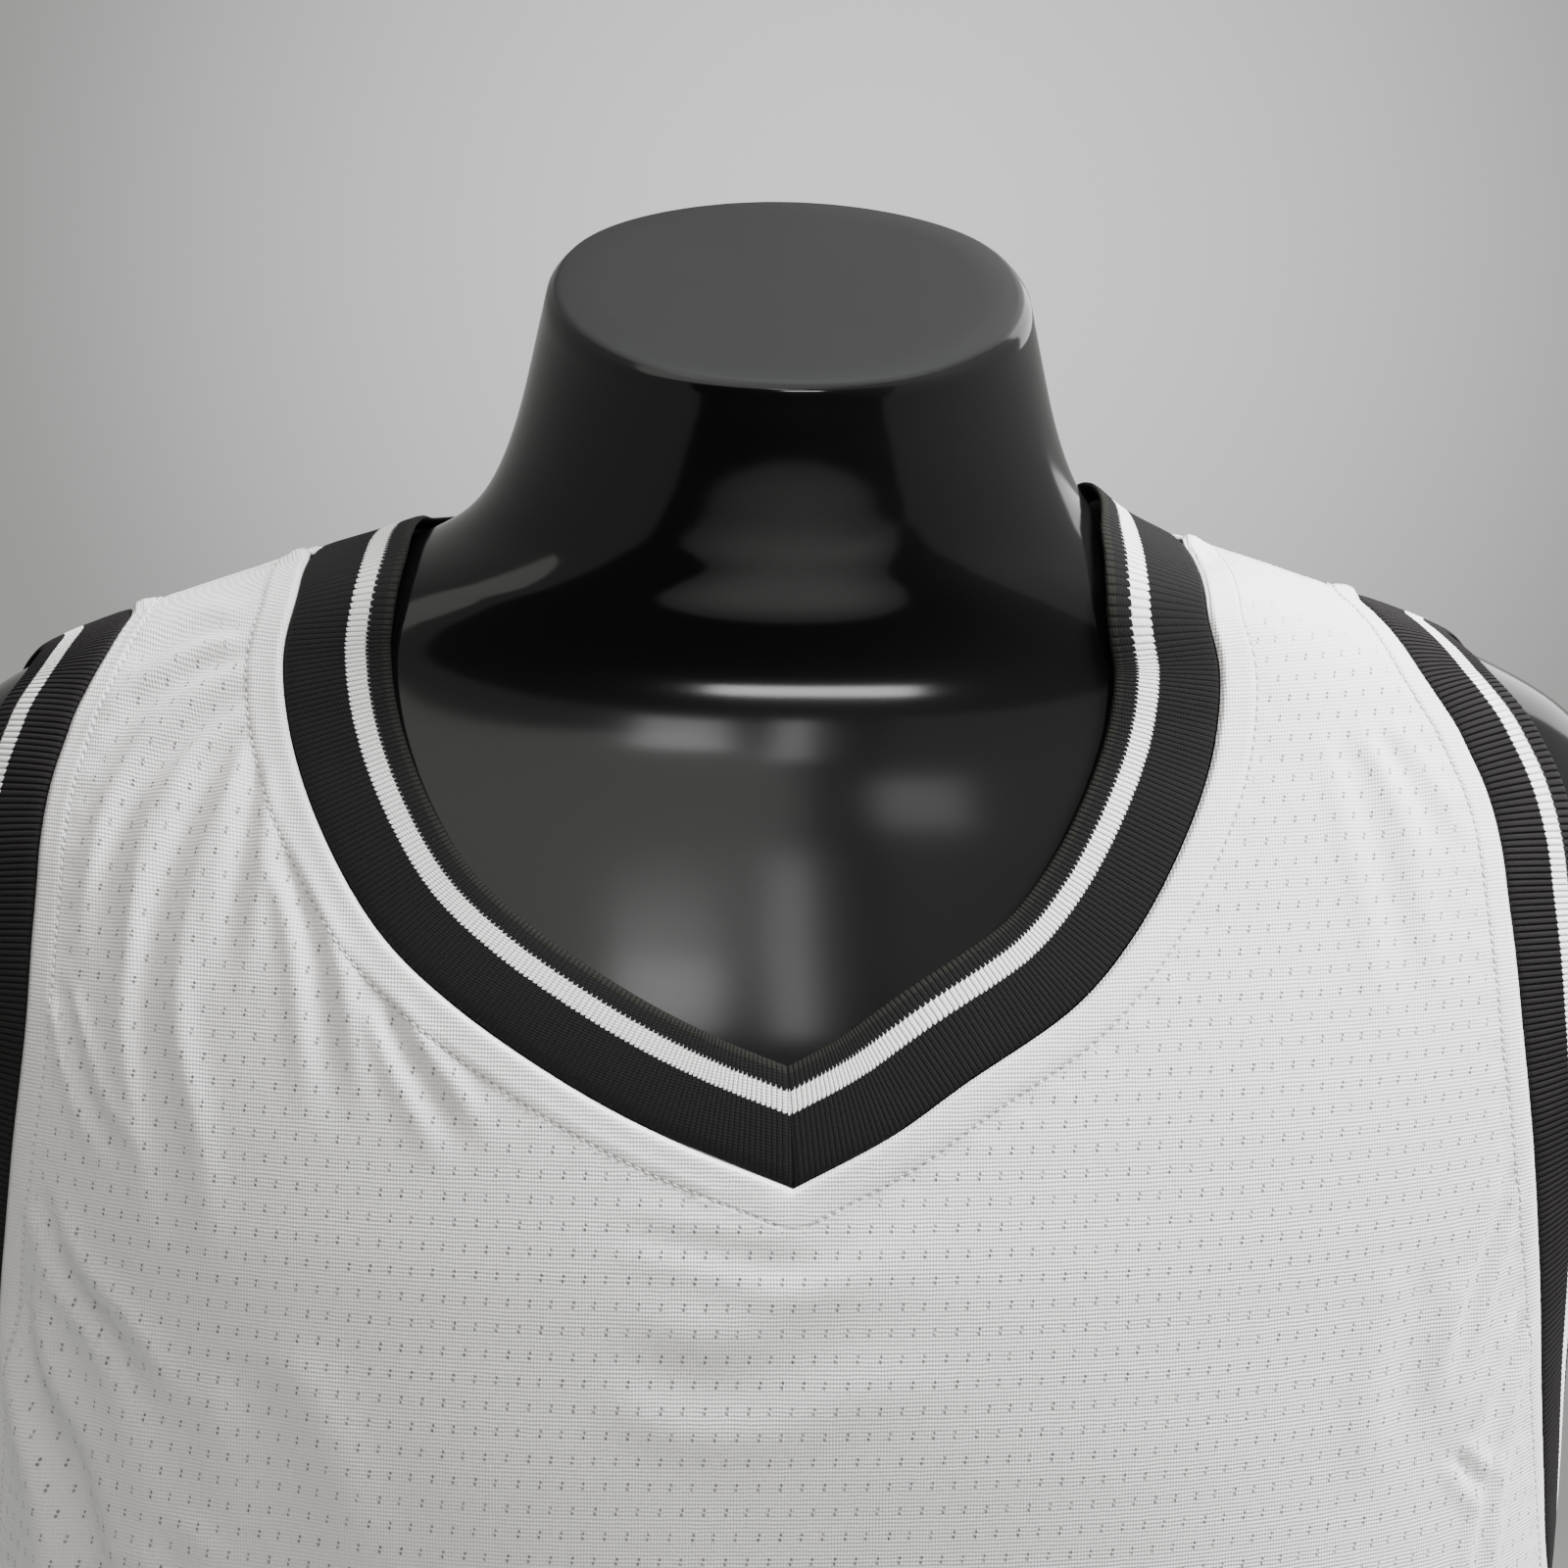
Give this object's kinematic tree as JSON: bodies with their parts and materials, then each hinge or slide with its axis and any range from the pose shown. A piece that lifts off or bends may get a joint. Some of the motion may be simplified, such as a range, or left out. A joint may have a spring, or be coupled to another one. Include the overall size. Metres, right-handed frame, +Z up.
{
  "type": "basketball jersey on a dress form",
  "caption": "Sleeveless V-neck basketball jersey in white eyelet mesh with striped black rib bands, worn by a glossy black limbless dress form.",
  "frame": {"origin": "middle of the dress form's flat base, on the surface that it stands on", "axes": "+Z up, -Y towards the front of the jersey, +X towards the wearer's left"},
  "size_m": [0.4858, 0.271, 0.91],
  "materials": {
    "form_gloss": "high gloss black",
    "mesh_cloth": "white polyester eyelet knit, slight sheen",
    "rib_knit": "black rib knit with one white stripe"
  },
  "bodies": {
    "root": {"dress_form": "form_gloss", "front_panel": "mesh_cloth", "back_panel": "mesh_cloth", "neckband": "rib_knit", "armhole_band_right": "rib_knit", "armhole_band_left": "rib_knit"}
  },
  "joints": []
}
